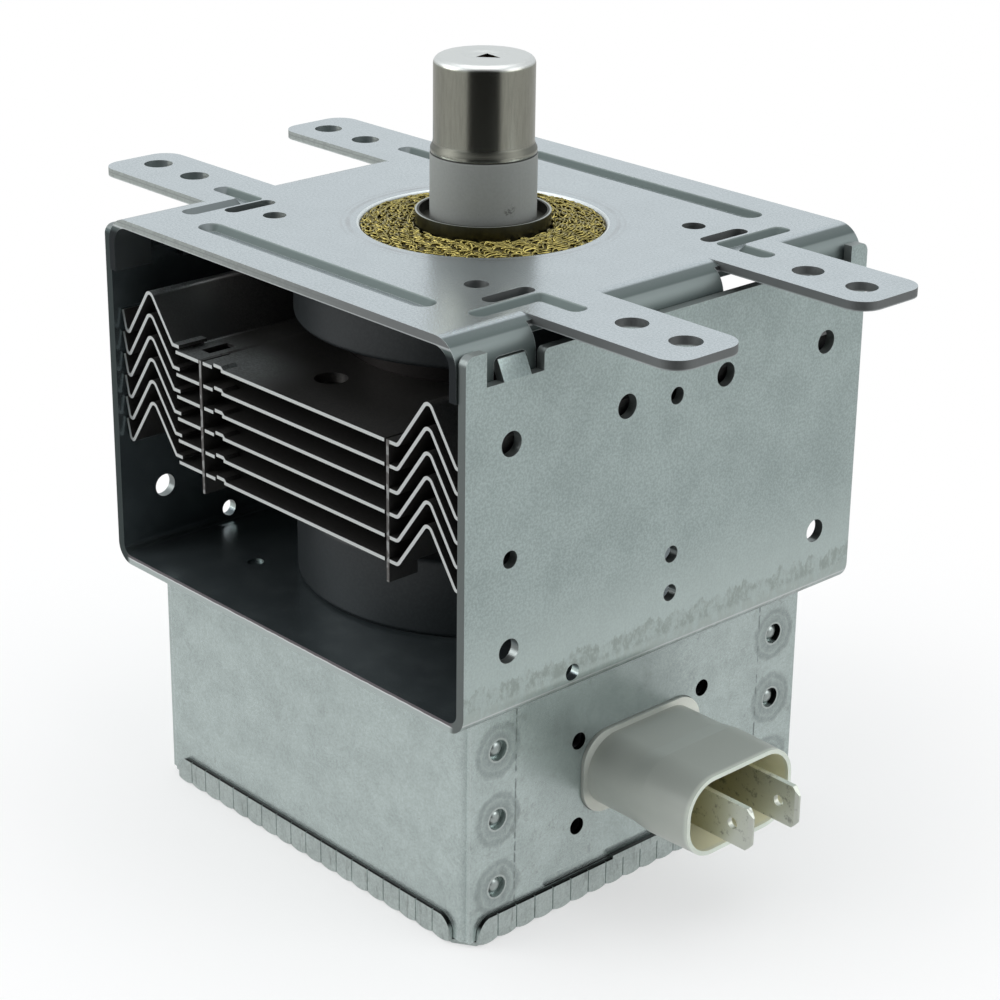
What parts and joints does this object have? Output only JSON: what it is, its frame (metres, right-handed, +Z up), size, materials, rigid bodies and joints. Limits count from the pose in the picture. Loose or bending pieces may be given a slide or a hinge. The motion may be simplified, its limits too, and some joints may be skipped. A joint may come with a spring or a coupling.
{
  "type": "magnetron",
  "caption": "Microwave-oven magnetron: capped antenna on an eared plate, finned yoke with ring magnets, and a filter box with a bladed plug.",
  "frame": {"origin": "on the antenna's axis, at the top face of the mounting plate", "axes": "+Z up the antenna, +X towards the plug, Y along the air's way through the fins"},
  "size_m": [0.1216, 0.0772, 0.1144],
  "materials": {
    "galvanised_plate": "hot-dip galvanised sheet, satin, fine spangle",
    "galvanised_yoke": "zinc-coated sheet, matte, mottled",
    "galvanised_box": "zinc-coated sheet, stained and dull",
    "fin_aluminium": "mill finish sheet",
    "ferrite_magnet": "sintered hard ferrite, matte",
    "copper": "bare copper",
    "seal_metal": "plated seal cup, brazed",
    "alumina": "unglazed alumina, matte",
    "nickel_cap": "drawn stainless cap, satin",
    "wire_mesh": "knitted plated wire",
    "plug_plastic": "moulded polyester, cream",
    "tinned_blade": "tin-plated brass, dull",
    "epoxy": "cast epoxy",
    "choke_ferrite": "sintered soft ferrite",
    "enamelled_wire": "enamelled copper",
    "refractory_metal": "molybdenum and tungsten, dull"
  },
  "bodies": {
    "root": {"top_plate": "galvanised_plate", "yoke_frame": "galvanised_yoke", "upper_magnet": "ferrite_magnet", "lower_magnet": "ferrite_magnet", "anode_cylinder": "copper", "even_vanes": "copper", "odd_vanes": "copper", "strap_rings": "copper", "upper_pole_piece": "seal_metal", "lower_pole_piece": "seal_metal", "output_seal_cup": "seal_metal", "output_ceramic": "alumina", "antenna_cap": "nickel_cap", "rf_gasket": "wire_mesh", "exhaust_tube": "copper", "antenna_lead": "copper", "filter_box": "galvanised_box", "box_cover": "galvanised_box", "plug_housing": "plug_plastic", "capacitor": "epoxy", "blade_terminal_1": "tinned_blade", "blade_terminal_2": "tinned_blade", "upper_end_hat": "refractory_metal", "lower_end_hat": "refractory_metal", "centre_lead": "refractory_metal", "side_lead": "refractory_metal", "filament": "refractory_metal", "cathode_seal_cup": "seal_metal", "stem_ceramic": "alumina", "stem_terminal_1": "tinned_blade", "stem_terminal_2": "tinned_blade", "choke_coil_1": "enamelled_wire", "choke_coil_2": "enamelled_wire", "choke_core_1": "choke_ferrite", "choke_core_2": "choke_ferrite", "cooling_fin_1": "fin_aluminium", "cooling_fin_2": "fin_aluminium", "cooling_fin_3": "fin_aluminium", "cooling_fin_4": "fin_aluminium", "cooling_fin_5": "fin_aluminium", "cooling_fin_6": "fin_aluminium"}
  },
  "joints": []
}
